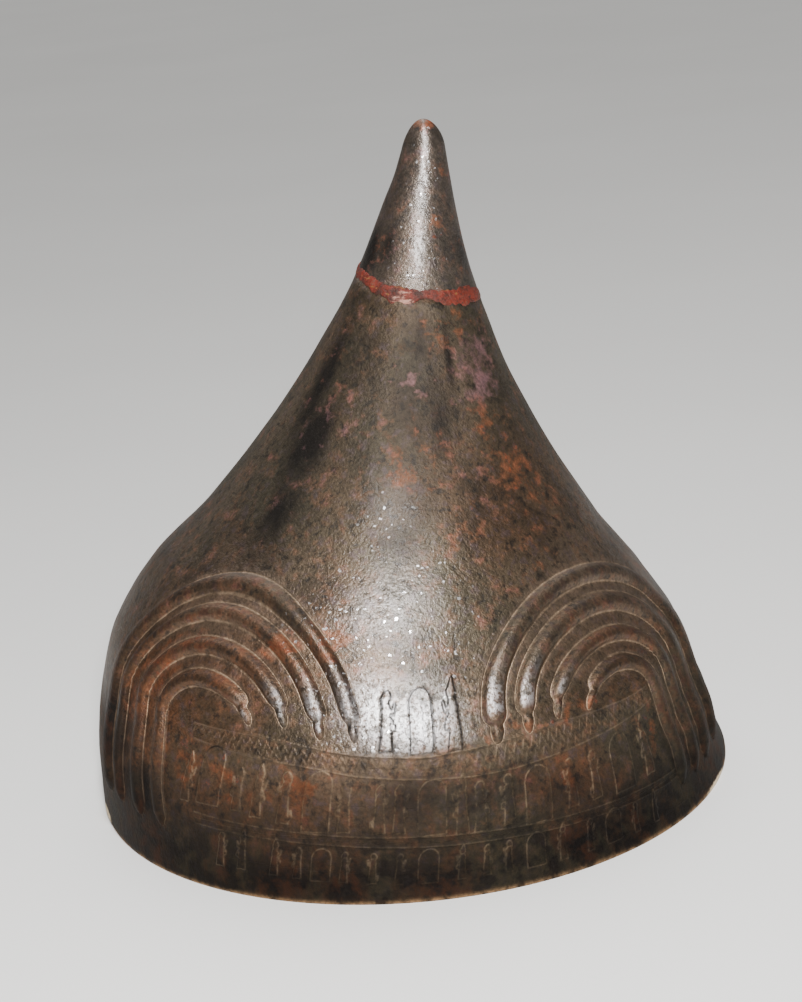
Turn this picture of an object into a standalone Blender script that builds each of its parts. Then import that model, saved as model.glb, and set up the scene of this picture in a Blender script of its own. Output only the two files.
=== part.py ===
"""Conical bronze helmet: a raised sheet bowl with two sets of arched ribs, its rejoined
tip and the ring of filler between them. Metres, +Z up, the front looks along -Y."""

import bpy
import bmesh
import math
import numpy as np
from mathutils.geometry import delaunay_2d_cdt

# Overall sizes
HEIGHT = 0.232
RIM_WIDTH = 0.226
RIM_DEPTH = 0.236
TIP_LEAN = 0.023
SHEET = 0.0015
CLEARANCE = 0.0003

# Rim depth differs from its width up to this share of the height
OVAL_END_SHARE = 0.75

# Profile from the rim to the root of the nose. Height is a share of HEIGHT, half_width
# of half RIM_WIDTH and lean of TIP_LEAN.
PROFILE_COLUMNS = ("height", "half_width", "lean")
PROFILE = (
    (0.00, 1.000, 0.00),
    (0.04, 0.985, -0.07),
    (0.09, 0.975, -0.11),
    (0.15, 0.947, -0.18),
    (0.21, 0.913, -0.20),
    (0.28, 0.844, -0.28),
    (0.36, 0.730, -0.26),
    (0.45, 0.571, -0.01),
    (0.55, 0.424, 0.22),
    (0.66, 0.290, 0.45),
    (0.78, 0.174, 0.70),
    (0.88, 0.109, 0.87),
    (0.92, 0.087, 0.95),
    (0.957, 0.064, 1.00),
)

# The tip's length above the middle of the break, how much higher the break's left side
# is than its right, and how far its edge wanders
TIP_LENGTH = 0.0557
BREAK_RISE = 0.0155
BREAK_WAVE = 0.0006
LAP = 0.008
LAP_WALL = 0.0012
HOLLOW_TOP_SHARE = 0.935

# The filler stands this tall between the two edges and this far out of the surface
FILL_HEIGHT = 0.0034
FILL_PROUD = 0.0003
FILL_COLUMNS = ("azimuth", "height")
FILL_SECTIONS = (
    (-180, 0.70),
    (-120, 0.80),
    (-75, 1.05),
    (-45, 0.80),
    (-10, 0.72),
    (20, 0.68),
    (50, 1.00),
    (85, 1.00),
    (130, 0.75),
    (180, 0.70),
)

# Two sets of arched ribs. Azimuths are degrees from the front, lengths are shares of
# ARCH_HEIGHT, the height of the highest arch.
ARCH_HEIGHT = 0.096
RIB_RELIEF = 0.0021
SIDE_COLUMNS = ("side", "middle", "foot_draw", "rear_end", "head_turn")
SIDES = (
    (1, 43.0, 0.83, 0.10, 1.6),
    (-1, 44.5, 1.00, 0.17, 0.0),
)
RIB_COLUMNS = (
    "side", "outer_front", "outer_rear", "outer_top",
    "inner_front", "inner_rear", "inner_top", "front_end", "spring",
)
RIBS = (
    (1, 11.4, 79.0, 0.888, 16.3, 71.6, 0.830, 0.474, 0.540),
    (1, 18.0, 68.8, 0.801, 22.3, 62.6, 0.738, 0.484, 0.530),
    (1, 24.8, 60.0, 0.697, 28.6, 55.8, 0.645, 0.500, 0.505),
    (1, 31.2, 53.6, 0.610, 35.2, 49.4, 0.556, 0.492, 0.462),
    (-1, 10.8, 78.0, 1.000, 14.6, 72.5, 0.941, 0.534, 0.585),
    (-1, 16.8, 70.5, 0.917, 21.0, 67.0, 0.863, 0.546, 0.580),
    (-1, 23.4, 63.5, 0.823, 27.6, 59.5, 0.766, 0.580, 0.575),
    (-1, 30.2, 56.5, 0.729, 34.6, 53.2, 0.672, 0.580, 0.555),
)
# The front end of each rib is a small animal head, the other end is rounded. Along is a
# share of HEAD_LENGTH or END_LENGTH from the end, width of the rib's, relief of its own.
HEAD_LENGTH = 0.0085
END_LENGTH = 0.005
END_COLUMNS = ("along", "width", "relief")
HEAD = (
    (0.00, 0.00, 0.00),
    (0.22, 0.50, 0.60),
    (0.42, 0.72, 0.80),
    (0.58, 0.55, 0.50),
    (0.72, 0.60, 0.40),
    (1.00, 1.00, 1.00),
)
ROUND_END = (
    (0.00, 0.00, 0.00),
    (0.40, 0.75, 0.60),
    (1.00, 1.00, 1.00),
)
# Across a rib: share of its width and of its relief
RIB_ACROSS = ((0.0, 0.0), (0.30, 1.0), (0.70, 1.0), (1.0, 0.0))

# Mesh steps
RIM_STEPS = 72
NECK_STEPS = 36
RIB_STEP = 0.0085
WALL_ROWS = 20
CLEAR_OF_RIB = 0.0022

MATERIALS = {
    "bronze_patina": ((0.135, 0.088, 0.050), 0.75, 0.42),
    "bronze_tip": ((0.150, 0.110, 0.075), 0.75, 0.38),
    "red_filler": ((0.330, 0.060, 0.040), 0.0, 0.60),
}


def column(rows, names, name):
    """One named column of a table as an array."""
    return np.array([row[names.index(name)] for row in rows], float)


def smooth_curve(xs, ys, at):
    """Monotone cubic through (xs, ys), read at the array at."""
    step = np.diff(xs)
    slope = np.diff(ys) / step
    turn = np.zeros(len(xs))
    for i in range(1, len(xs) - 1):
        if slope[i - 1] * slope[i] > 0:
            one = 2 * step[i] + step[i - 1]
            two = step[i] + 2 * step[i - 1]
            turn[i] = (one + two) / (one / slope[i - 1] + two / slope[i])
    turn[0] = slope[0]
    turn[-1] = slope[-1]
    at = np.clip(at, xs[0], xs[-1])
    k = np.clip(np.searchsorted(xs, at, side="right") - 1, 0, len(step) - 1)
    t = (at - xs[k]) / step[k]
    start = (1 + 2 * t) * (1 - t) ** 2 * ys[k] + t * (1 - t) ** 2 * step[k] * turn[k]
    end = t * t * (3 - 2 * t) * ys[k + 1] + t * t * (t - 1) * step[k] * turn[k + 1]
    return start + end


def sections(z):
    """Half width, half depth and sideways offset of the outer surface at heights z."""
    share = np.clip(np.asarray(z, float) / HEIGHT, 0.0, 1.0)
    shares = column(PROFILE, PROFILE_COLUMNS, "height")
    half = smooth_curve(shares, column(PROFILE, PROFILE_COLUMNS, "half_width"), share)
    lean = smooth_curve(shares, column(PROFILE, PROFILE_COLUMNS, "lean"), share)
    root = shares[-1]
    nose = np.clip((share - root) / (1.0 - root), 0.0, 1.0)
    half = half * np.sqrt(1.0 - nose**2) * RIM_WIDTH / 2
    oval = np.clip(1.0 - share / OVAL_END_SHARE, 0.0, 1.0)
    return half, half * (1.0 + (RIM_DEPTH / RIM_WIDTH - 1.0) * oval), lean * TIP_LEAN


def surface(azimuth, z, out=0.0):
    """Points of the outer surface, moved out along its normal."""
    a, z, out = np.broadcast_arrays(
        np.asarray(azimuth, float), np.asarray(z, float), np.asarray(out, float)
    )
    half, depth, lean = sections(z)
    probe = HEIGHT / 400
    low = sections(np.clip(z - probe, 0.0, HEIGHT * 0.999))
    high = sections(np.clip(z + probe, probe, HEIGHT * 0.999))
    rise = np.clip(z + probe, probe, HEIGHT * 0.999) - np.clip(z - probe, 0.0, HEIGHT * 0.999)
    rise = np.maximum(rise, 1e-6)
    s, c = np.sin(a), np.cos(a)
    point = np.stack([lean + half * s, -depth * c, z], -1)
    around = np.stack([half * c, depth * s, np.zeros_like(z)], -1)
    up_x = ((high[2] - low[2]) + (high[0] - low[0]) * s) / rise
    up_y = -(high[1] - low[1]) * c / rise
    up = np.stack([up_x, up_y, np.ones_like(z)], -1)
    normal = np.cross(around, up)
    normal /= np.maximum(np.linalg.norm(normal, axis=-1, keepdims=True), 1e-12)
    return point + normal * out[..., None]


def break_line(azimuth):
    """Height of the middle of the break at each azimuth."""
    a = np.asarray(azimuth, float)
    wave = 0.6 * np.sin(3 * a + 0.8) + 0.4 * np.sin(7 * a - 0.5)
    return HEIGHT - TIP_LENGTH - BREAK_RISE / 2 * np.sin(a) + BREAK_WAVE * wave


def fill_height(azimuth):
    """Height of the filler between the two edges at each azimuth."""
    at = column(FILL_SECTIONS, FILL_COLUMNS, "azimuth")
    share = column(FILL_SECTIONS, FILL_COLUMNS, "height")
    return FILL_HEIGHT * np.interp(np.degrees(azimuth), at, share)


def bowl_edge(azimuth):
    """Height of the bowl's broken upper edge."""
    return break_line(azimuth) - fill_height(azimuth) / 2


def tip_edge(azimuth):
    """Height of the tip's broken lower edge."""
    return break_line(azimuth) + fill_height(azimuth) / 2


def arch_path(rib, side, edge):
    """Azimuths and heights along one edge of a rib, from its front end to its rear end."""
    middle = side["middle"]
    spring = rib["spring"] * ARCH_HEIGHT
    low = rib["front_end"] * ARCH_HEIGHT
    front = middle - rib[edge + "_front"]
    rear = rib[edge + "_rear"] - middle
    top = rib[edge + "_top"] * ARCH_HEIGHT
    start = math.asin(min(max((low - spring) / (top - spring), 0.0), 0.9))
    turn = np.linspace(start, math.pi, 91)
    half = np.where(turn < math.pi / 2, front, rear)
    arch_a = middle - half * np.cos(turn)
    arch_z = spring + (top - spring) * np.sin(turn)
    front_z = np.linspace(min(low, spring), spring, 20, endpoint=False)
    front_a = np.full_like(front_z, middle - front)
    rear_z = np.linspace(spring, side["rear_end"] * ARCH_HEIGHT, 40)[1:]
    draw = (spring - rear_z) / spring * (1.0 - side["foot_draw"])
    rear_a = middle + rear * (1.0 - draw)
    azimuth = np.concatenate([front_a, arch_a, rear_a]) * side["side"]
    return np.radians(azimuth), np.concatenate([front_z, arch_z, rear_z])


def rib_stations(rib, side):
    """Stations along one rib: both edges, and the width and relief shares there."""
    outer_a, outer_z = arch_path(rib, side, "outer")
    inner_a, inner_z = arch_path(rib, side, "inner")
    middle = surface((outer_a + inner_a) / 2, (outer_z + inner_z) / 2)
    run = np.linalg.norm(np.diff(middle, axis=0), axis=1)
    run = np.concatenate([[0.0], np.cumsum(run)])
    head = column(HEAD, END_COLUMNS, "along") * HEAD_LENGTH
    end = run[-1] - column(ROUND_END, END_COLUMNS, "along")[::-1] * END_LENGTH
    count = max(4, int(round((end[0] - head[-1]) / RIB_STEP)))
    between = np.linspace(head[-1], end[0], count + 1)[1:-1]
    at = np.concatenate([head, between, end])
    shares = []
    for name in ("width", "relief"):
        front = np.interp(at, head, column(HEAD, END_COLUMNS, name))
        back = np.interp(run[-1] - at, END_LENGTH * column(ROUND_END, END_COLUMNS, "along"),
                         column(ROUND_END, END_COLUMNS, name))
        shares.append(np.minimum(front, back))
    read = [np.interp(at, run, line) for line in (outer_a, outer_z, inner_a, inner_z)]
    turn = np.clip(1.0 - at / (2 * HEAD_LENGTH), 0.0, 1.0) ** 1.5
    turn = turn * math.radians(side["head_turn"]) * side["side"]
    read[0] = read[0] - turn
    read[2] = read[2] - turn
    return read, shares[0], shares[1]


def sheet_coordinates(azimuth, z):
    """Flat coordinates of the unrolled sheet, upright edge to upright edge."""
    return azimuth * RIM_WIDTH * 0.40, z / bowl_edge(azimuth) * (HEIGHT - TIP_LENGTH)


def rib_lines():
    """Vertices (azimuth, height, relief) and edges of all the ribs' lines."""
    points = []
    edges = []
    for row in RIBS:
        rib = dict(zip(RIB_COLUMNS, row))
        side = next(dict(zip(SIDE_COLUMNS, s)) for s in SIDES if s[0] == rib["side"])
        (oa, oz, ia, iz), width, relief = rib_stations(rib, side)
        previous = None
        for k in range(len(oa)):
            here = []
            for across, lift in RIB_ACROSS:
                share = 0.5 + (across - 0.5) * width[k]
                if width[k] == 0.0 and here:
                    here.append(here[0])
                    continue
                points.append((
                    oa[k] + (ia[k] - oa[k]) * share,
                    oz[k] + (iz[k] - oz[k]) * share,
                    RIB_RELIEF * relief[k] * lift,
                ))
                here.append(len(points) - 1)
            if previous:
                edges += [(i, j) for i, j in zip(previous, here)]
            previous = here
    return points, edges


def sheet_grid(points):
    """Points of the plain sheet that stay clear of the ribs."""
    flat = np.array([sheet_coordinates(p[0], p[1]) for p in points])
    grid = []
    for row in range(WALL_ROWS + 1):
        share = row / WALL_ROWS
        steps = RIM_STEPS if share < 0.55 else NECK_STEPS
        for step in range(steps + 1):
            azimuth = (step / steps * 2 - 1) * math.pi
            z = share * float(bowl_edge(azimuth))
            if 0 < row < WALL_ROWS and abs(azimuth) < 3.0:
                x, y = sheet_coordinates(azimuth, z)
                if np.hypot(flat[:, 0] - x, flat[:, 1] - y).min() < CLEAR_OF_RIB:
                    continue
                if inside_rib(x, y):
                    continue
            grid.append((azimuth, z, 0.0))
    return grid


RIB_OUTLINES = []


def inside_rib(x, y):
    """Whether a flat point lies within a rib's outline or close to it."""
    for outline in RIB_OUTLINES:
        a = outline
        b = np.roll(outline, -1, axis=0)
        crosses = (a[:, 1] > y) != (b[:, 1] > y)
        gap = np.where(b[:, 1] == a[:, 1], 1e-12, b[:, 1] - a[:, 1])
        at = a[:, 0] + (y - a[:, 1]) / gap * (b[:, 0] - a[:, 0])
        if np.count_nonzero(crosses & (x < at)) % 2:
            return True
        edge = b - a
        length = np.maximum((edge**2).sum(1), 1e-18)
        t = np.clip(((x - a[:, 0]) * edge[:, 0] + (y - a[:, 1]) * edge[:, 1]) / length, 0, 1)
        away = np.hypot(a[:, 0] + t * edge[:, 0] - x, a[:, 1] + t * edge[:, 1] - y)
        if away.min() < CLEAR_OF_RIB:
            return True
    return False


def read_outlines():
    """Flat outline of each rib, for keeping the sheet's own points off it."""
    RIB_OUTLINES.clear()
    for row in RIBS:
        rib = dict(zip(RIB_COLUMNS, row))
        side = next(dict(zip(SIDE_COLUMNS, s)) for s in SIDES if s[0] == rib["side"])
        (oa, oz, ia, iz), width, _ = rib_stations(rib, side)
        far = 0.5 - 0.5 * width
        one = sheet_coordinates(oa + (ia - oa) * far, oz + (iz - oz) * far)
        two = sheet_coordinates(ia + (oa - ia) * far, iz + (oz - iz) * far)
        line = np.concatenate([np.stack(one, 1), np.stack(two, 1)[::-1]])
        RIB_OUTLINES.append(line)


def add_object(name, points, faces, material):
    """One closed mesh object with its own material."""
    mesh = bpy.data.meshes.new(name)
    mesh.from_pydata([tuple(map(float, p)) for p in points], [], faces)
    shape = bmesh.new()
    shape.from_mesh(mesh)
    bmesh.ops.remove_doubles(shape, verts=shape.verts, dist=1e-6)
    bmesh.ops.recalc_face_normals(shape, faces=shape.faces)
    shape.to_mesh(mesh)
    shape.free()
    colour, metallic, roughness = MATERIALS[material]
    look = bpy.data.materials.new(material)
    look.use_nodes = True
    shader = look.node_tree.nodes["Principled BSDF"]
    shader.inputs["Base Color"].default_value = (*colour, 1.0)
    shader.inputs["Metallic"].default_value = metallic
    shader.inputs["Roughness"].default_value = roughness
    mesh.materials.append(look)
    thing = bpy.data.objects.new(name, mesh)
    bpy.context.scene.collection.objects.link(thing)
    return thing


def build_bowl():
    """The sheet bowl: its ribs are raised outside and hollow behind."""
    read_outlines()
    points, edges = rib_lines()
    points = points + sheet_grid(points)
    flat = [sheet_coordinates(p[0], p[1]) for p in points]
    result = delaunay_2d_cdt(flat, edges, [], 0, 1e-7)
    _, _, triangles, origins, _, _ = result
    data = np.array([points[o[0]] for o in origins])
    azimuth, z, relief = data.T
    outer = surface(azimuth, z, relief)
    inner = surface(azimuth, z, relief - SHEET)
    rim = z < 1e-9
    inner[rim, 2] = 0.0
    outer[rim, 2] = 0.0
    count = len(data)
    faces = [tuple(t) for t in triangles]
    faces += [tuple(i + count for i in reversed(t)) for t in triangles]
    for row in (rim, np.abs(z - bowl_edge(azimuth)) < 1e-9):
        line = sorted(np.nonzero(row)[0], key=lambda i: azimuth[i])
        for i, j in zip(line, line[1:]):
            faces.append((int(i), int(j), int(j + count)))
            faces.append((int(i), int(j + count), int(i + count)))
    return add_object("helmet_bowl", np.concatenate([outer, inner]), faces, "bronze_patina")


def ring_solid(name, rings, material, start=None, end=None, closed=False):
    """Rings of points joined in order, capped to a point at either end or closed."""
    steps = len(rings[0])
    points = [p for ring in rings for p in ring]
    faces = []
    pairs = list(zip(range(len(rings)), range(1, len(rings))))
    if closed:
        pairs.append((len(rings) - 1, 0))
    for low, high in pairs:
        for k in range(steps):
            n = (k + 1) % steps
            a, b = low * steps + k, low * steps + n
            c, d = high * steps + n, high * steps + k
            faces.append((a, b, c))
            faces.append((a, c, d))
    for point, ring in ((start, 0), (end, len(rings) - 1)):
        if point is None:
            continue
        points.append(point)
        for k in range(steps):
            n = (k + 1) % steps
            faces.append((ring * steps + k, ring * steps + n, len(points) - 1))
    return add_object(name, points, faces, material)


def build_tip():
    """The hollow tip with a collar that laps inside the neck."""
    azimuth = (np.arange(NECK_STEPS) / NECK_STEPS * 2 - 1) * math.pi
    edge = tip_edge(azimuth)
    inset = SHEET + CLEARANCE
    lining = inset + LAP_WALL
    rings = []
    for share in (0.0, 0.12, 0.26, 0.40, 0.54, 0.67, 0.78, 0.87, 0.93, 0.97, 0.992):
        rings.append(surface(azimuth, edge + (HEIGHT - edge) * share))
    rings.reverse()
    rings.append(surface(azimuth, edge, -inset))
    foot = break_line(azimuth) - LAP
    rings.append(surface(azimuth, foot, -inset))
    rings.append(surface(azimuth, foot, -lining))
    top = HEIGHT * HOLLOW_TOP_SHARE
    for share in (0.22, 0.45, 0.65, 0.82, 1.0):
        rings.append(surface(azimuth, foot + (top - foot) * share, -lining))
    _, _, lean = sections(np.array([HEIGHT, top]))
    apex = np.array([lean[0], 0.0, HEIGHT])
    inside = np.array([lean[1], 0.0, rings[-1][:, 2].mean() + SHEET])
    return ring_solid("spire_tip", rings, "bronze_tip", apex, inside)


def build_filler():
    """The ring of filler between the two broken edges."""
    azimuth = (np.arange(NECK_STEPS) / NECK_STEPS * 2 - 1) * math.pi
    low = bowl_edge(azimuth) + CLEARANCE
    high = tip_edge(azimuth) - CLEARANCE
    rings = [
        surface(azimuth, low, -SHEET),
        surface(azimuth, low, FILL_PROUD),
        surface(azimuth, high, FILL_PROUD),
        surface(azimuth, high, -SHEET),
    ]
    return ring_solid("seam_fill", rings, "red_filler", closed=True)


for thing in list(bpy.data.objects):
    bpy.data.objects.remove(thing, do_unlink=True)
build_bowl()
build_tip()
build_filler()
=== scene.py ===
import math

import bpy
import numpy as np
from mathutils import Matrix, Vector


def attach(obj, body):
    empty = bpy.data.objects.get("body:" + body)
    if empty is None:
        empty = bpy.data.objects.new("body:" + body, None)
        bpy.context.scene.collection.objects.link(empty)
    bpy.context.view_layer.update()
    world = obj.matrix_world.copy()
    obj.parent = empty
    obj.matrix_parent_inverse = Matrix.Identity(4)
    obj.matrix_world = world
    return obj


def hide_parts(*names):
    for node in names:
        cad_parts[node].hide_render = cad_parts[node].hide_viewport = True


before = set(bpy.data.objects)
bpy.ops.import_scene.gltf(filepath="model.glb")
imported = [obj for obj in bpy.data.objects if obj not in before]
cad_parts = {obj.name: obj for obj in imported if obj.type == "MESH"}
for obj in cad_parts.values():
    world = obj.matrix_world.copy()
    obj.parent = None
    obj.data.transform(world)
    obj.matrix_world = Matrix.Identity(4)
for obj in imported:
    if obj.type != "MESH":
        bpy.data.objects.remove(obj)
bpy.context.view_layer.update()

# The bronze is made in metres, with azimuth 0 at the front (-Y). Heights of drawn things are in
# millimetres and azimuths in degrees.
MILLIMETRES = 1000

# Sizes of the solids, in metres
HEIGHT = 0.232
RIM_WIDTH = 0.226
RIM_DEPTH = 0.236
TIP_LEAN = 0.023
SHEET = 0.0015
OVAL_END_SHARE = 0.75
PROFILE = np.array([
    # height, half width, lean
    (0.00, 1.000, 0.00),
    (0.04, 0.985, -0.07),
    (0.09, 0.975, -0.11),
    (0.15, 0.947, -0.18),
    (0.21, 0.913, -0.20),
    (0.28, 0.844, -0.28),
    (0.36, 0.730, -0.26),
    (0.45, 0.571, -0.01),
    (0.55, 0.424, 0.22),
    (0.66, 0.290, 0.45),
    (0.78, 0.176, 0.70),
    (0.88, 0.110, 0.88),
    (0.92, 0.085, 0.965),
    (0.957, 0.067, 1.025),
])
# The rounded nose starts at the profile's last row
NOSE_SLIMMING = 0.016
NOSE_POWER = 2.2
NOSE_LEAN = 0.05
SEAM = np.array([
    # azimuth, low edge, high edge of the filler in millimetres
    (-180, 175.1, 177.5), (-140, 179.5, 182.3), (-100, 181.8, 184.6), (-72, 180.2, 184.2),
    (-56, 178.3, 182.6), (-44, 177.4, 181.1), (-34, 176.3, 180.5), (-25, 174.8, 180.2),
    (-13, 173.9, 179.2), (-4, 173.9, 178.3), (3, 174.8, 177.6), (9, 174.6, 177.2),
    (14, 173.2, 177.0), (22, 171.2, 176.6), (34, 171.0, 176.5), (45, 169.8, 176.4),
    (58, 169.4, 175.4), (67, 169.6, 174.3), (81, 168.8, 172.9), (100, 167.6, 170.6),
    (140, 170.0, 172.6), (180, 175.1, 177.5),
])
SEAM_GAP = 0.0002

# Ribs: widths in degrees of azimuth, heights as shares of ARCH_HEIGHT
ARCH_HEIGHT = 0.096
RIB_RELIEF = 0.0020
SIDES = {
    # middle, foot draw, rear end, head turn
    1: (43.0, 0.83, 0.10, 1.6),
    -1: (44.5, 1.00, 0.17, 0.0),
}
RIBS = (
    # side, outer front, rear, top, inner front, rear, top, front end, spring
    (1, 11.4, 79.0, 0.888, 16.3, 71.6, 0.830, 0.474, 0.540),
    (1, 18.0, 68.8, 0.801, 22.3, 62.6, 0.738, 0.484, 0.530),
    (1, 24.8, 60.0, 0.697, 28.6, 55.8, 0.645, 0.500, 0.505),
    (1, 31.2, 53.6, 0.610, 35.2, 49.4, 0.556, 0.492, 0.462),
    (-1, 10.8, 78.0, 1.000, 14.6, 72.5, 0.941, 0.534, 0.585),
    (-1, 16.8, 70.5, 0.917, 21.0, 67.0, 0.863, 0.546, 0.580),
    (-1, 23.4, 63.5, 0.823, 27.6, 59.5, 0.766, 0.580, 0.575),
    (-1, 30.2, 56.5, 0.729, 34.6, 53.2, 0.672, 0.580, 0.555),
)
HEAD_LENGTH = 0.0085
END_LENGTH = 0.005
HEAD = np.array([
    # along, width, relief
    (0.00, 0.18, 0.00), (0.10, 0.36, 0.40), (0.30, 0.50, 0.65), (0.44, 0.54, 0.70),
    (0.56, 0.48, 0.35), (0.66, 0.56, 0.35), (0.80, 0.86, 0.85), (1.00, 1.00, 1.00),
])
RIB_SLOPES = (0.08, 0.40)
DOME_ROUNDING = 0.30
RIB_EDGE_DEPTH = 0.00018
RIB_EDGE_WIDTH = 0.45

# The fields that the bronze reads are distances in millimetres, kept up to this limit
FIELD_LIMIT = 3.0
FAR = 9.0


def smooth_curve(xs, ys, at):
    """A curve through all points that doesn't overshoot between them."""
    step = np.diff(xs)
    slope = np.diff(ys) / step
    turn = np.zeros(len(xs))
    for i in range(1, len(xs) - 1):
        if slope[i - 1] * slope[i] > 0:
            one = 2 * step[i] + step[i - 1]
            two = step[i] + 2 * step[i - 1]
            turn[i] = (one + two) / (one / slope[i - 1] + two / slope[i])
    turn[0] = slope[0]
    turn[-1] = slope[-1]
    at = np.clip(at, xs[0], xs[-1])
    k = np.clip(np.searchsorted(xs, at, side="right") - 1, 0, len(step) - 1)
    t = (at - xs[k]) / step[k]
    start = (1 + 2 * t) * (1 - t) ** 2 * ys[k] + t * (1 - t) ** 2 * step[k] * turn[k]
    end = t * t * (3 - 2 * t) * ys[k + 1] + t * t * (t - 1) * step[k] * turn[k + 1]
    return start + end


def sections(z):
    """Half width, half depth and lean of the outer wall at a height."""
    share = np.clip(np.asarray(z, float) / HEIGHT, 0.0, 1.0)
    half = smooth_curve(PROFILE[:, 0], PROFILE[:, 1], share)
    lean = smooth_curve(PROFILE[:, 0], PROFILE[:, 2], share)
    root = PROFILE[-1, 0]
    nose = np.clip((share - root) / (1.0 - root), 0.0, 1.0)
    half = (half - NOSE_SLIMMING * nose) * np.sqrt(1.0 - nose**NOSE_POWER) * RIM_WIDTH / 2
    lean = lean + NOSE_LEAN * nose * (2 - nose) / 2
    oval = np.clip(1.0 - share / OVAL_END_SHARE, 0.0, 1.0)
    return half, half * (1.0 + (RIM_DEPTH / RIM_WIDTH - 1.0) * oval), lean * TIP_LEAN


def surface(azimuth, z, out=0.0):
    """Points of the wall, moved out along its normal."""
    a, z, out = np.broadcast_arrays(
        np.asarray(azimuth, float), np.asarray(z, float), np.asarray(out, float)
    )
    half, depth, lean = sections(z)
    probe = HEIGHT / 400
    nearly_top = HEIGHT * 0.999
    below = np.clip(z - probe, 0.0, nearly_top)
    above = np.clip(z + probe, probe, nearly_top)
    low = sections(below)
    high = sections(above)
    rise = np.maximum(above - below, 1e-6)
    s, c = np.sin(a), np.cos(a)
    point = np.stack([lean + half * s, -depth * c, z], -1)
    around = np.stack([half * c, depth * s, np.zeros_like(z)], -1)
    up_x = ((high[2] - low[2]) + (high[0] - low[0]) * s) / rise
    up_y = -(high[1] - low[1]) * c / rise
    up = np.stack([up_x, up_y, np.ones_like(z)], -1)
    normal = np.cross(around, up)
    normal /= np.maximum(np.linalg.norm(normal, axis=-1, keepdims=True), 1e-12)
    return point + normal * out[..., None]


def seam(azimuth):
    """Low edge, middle and high edge of the filler."""
    degrees = np.degrees(azimuth)
    low = np.interp(degrees, SEAM[:, 0], SEAM[:, 1]) / MILLIMETRES
    high = np.interp(degrees, SEAM[:, 0], SEAM[:, 2]) / MILLIMETRES
    return low, (low + high) / 2, high


def value_noise(x, y, seed, wrap=0):
    """Smooth noise between -1 and 1 on a lattice of unit cells; x wraps after wrap cells."""
    size = 257
    table = np.random.RandomState(seed).uniform(-1, 1, (size, size))
    xi = np.floor(x).astype(int)
    yi = np.floor(y).astype(int)
    fx, fy = x - xi, y - yi
    fx = fx * fx * (3 - 2 * fx)
    fy = fy * fy * (3 - 2 * fy)
    x0 = xi % wrap if wrap else xi
    x1 = (xi + 1) % wrap if wrap else xi + 1
    read = lambda i, j: table[i % size, j % size]
    low = read(x0, yi) * (1 - fx) + read(x1, yi) * fx
    high = read(x0, yi + 1) * (1 - fx) + read(x1, yi + 1) * fx
    return low * (1 - fy) + high * fy


def ring_noise(azimuth, y, seed, cells):
    """Value noise with this many cells round the ring."""
    return value_noise(azimuth * cells / (2 * math.pi), y, seed, cells)


def step_up(low, high, value):
    """Smooth step from 0 at low to 1 at high; low may be the larger one."""
    t = np.clip((value - low) / (high - low), 0.0, 1.0)
    return t * t * (3 - 2 * t)


def bell(value, middle, reach):
    return np.exp(-(((value - middle) / reach) ** 2))


# Drawn relief on the unrolled sheet. x and y are millimetres, distances are negative inside.
def capsule(x, y, ax, ay, bx, by, ra, rb=None):
    """A stroke from a to b with round ends of two radii."""
    rb = ra if rb is None else rb
    length = max((bx - ax) ** 2 + (by - ay) ** 2, 1e-9)
    t = np.clip(((x - ax) * (bx - ax) + (y - ay) * (by - ay)) / length, 0, 1)
    return np.hypot(x - ax - t * (bx - ax), y - ay - t * (by - ay)) - (ra + (rb - ra) * t)


def block(x, y, cx, cy, hx, hy, r=0.3):
    """A rectangle of two half widths with rounded corners."""
    dx = np.abs(x - cx) - hx + r
    dy = np.abs(y - cy) - hy + r
    corner = np.hypot(np.maximum(dx, 0), np.maximum(dy, 0))
    return corner + np.minimum(np.maximum(dx, dy), 0) - r


def raised(distance, soft=0.45):
    return 1.0 - step_up(-soft, soft, distance)


def figure(x, y, tall, look):
    """A plain robed figure, 16 units high, with an arm held out."""
    k = tall / 16.0
    x = x / k
    y = y / k
    robe = np.abs(x) - (1.2 + np.clip(9.6 - y, 0, 9.6) * 0.085)
    robe = np.maximum(robe, np.maximum(-y + 0.12 * np.cos(x * 1.5), y - 10.4))
    shoulders = capsule(x, y, 0.0, 9.9, 0.0, 11.0, 1.45, 1.25)
    head = capsule(x, y, 0.1, 13.3, 0.15, 13.5, 1.35)
    upper_arm = capsule(x, y, 0.7, 10.5, 2.2, 9.3, 0.5, 0.42)
    forearm = capsule(x, y, 2.2, 9.3, 2.7, 11.3, 0.42, 0.38)
    parts = [robe, shoulders, head, upper_arm, forearm]
    if look == "hat":
        parts.append(capsule(x, y, 0.0, 14.4, -0.2, 16.4, 1.0, 0.35))
    else:
        parts.append(capsule(x, y, -0.8, 13.0, -1.0, 12.2, 0.85, 0.6))
    if look == "train":
        parts.append(capsule(x, y, -1.4, 0.9, -2.6, 1.9, 0.75, 0.4))
        parts.append(capsule(x, y, -2.6, 1.9, -2.5, 3.6, 0.4, 0.3))
    else:
        parts.append(capsule(x, y, 0.8, 8.9, 2.0, 7.3, 0.4, 0.35))
        parts.append(block(x, y, 2.1, 5.9, 0.75, 0.85))
    shape = parts[0]
    for part in parts[1:]:
        shape = np.minimum(shape, part)
    return shape * k


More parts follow.
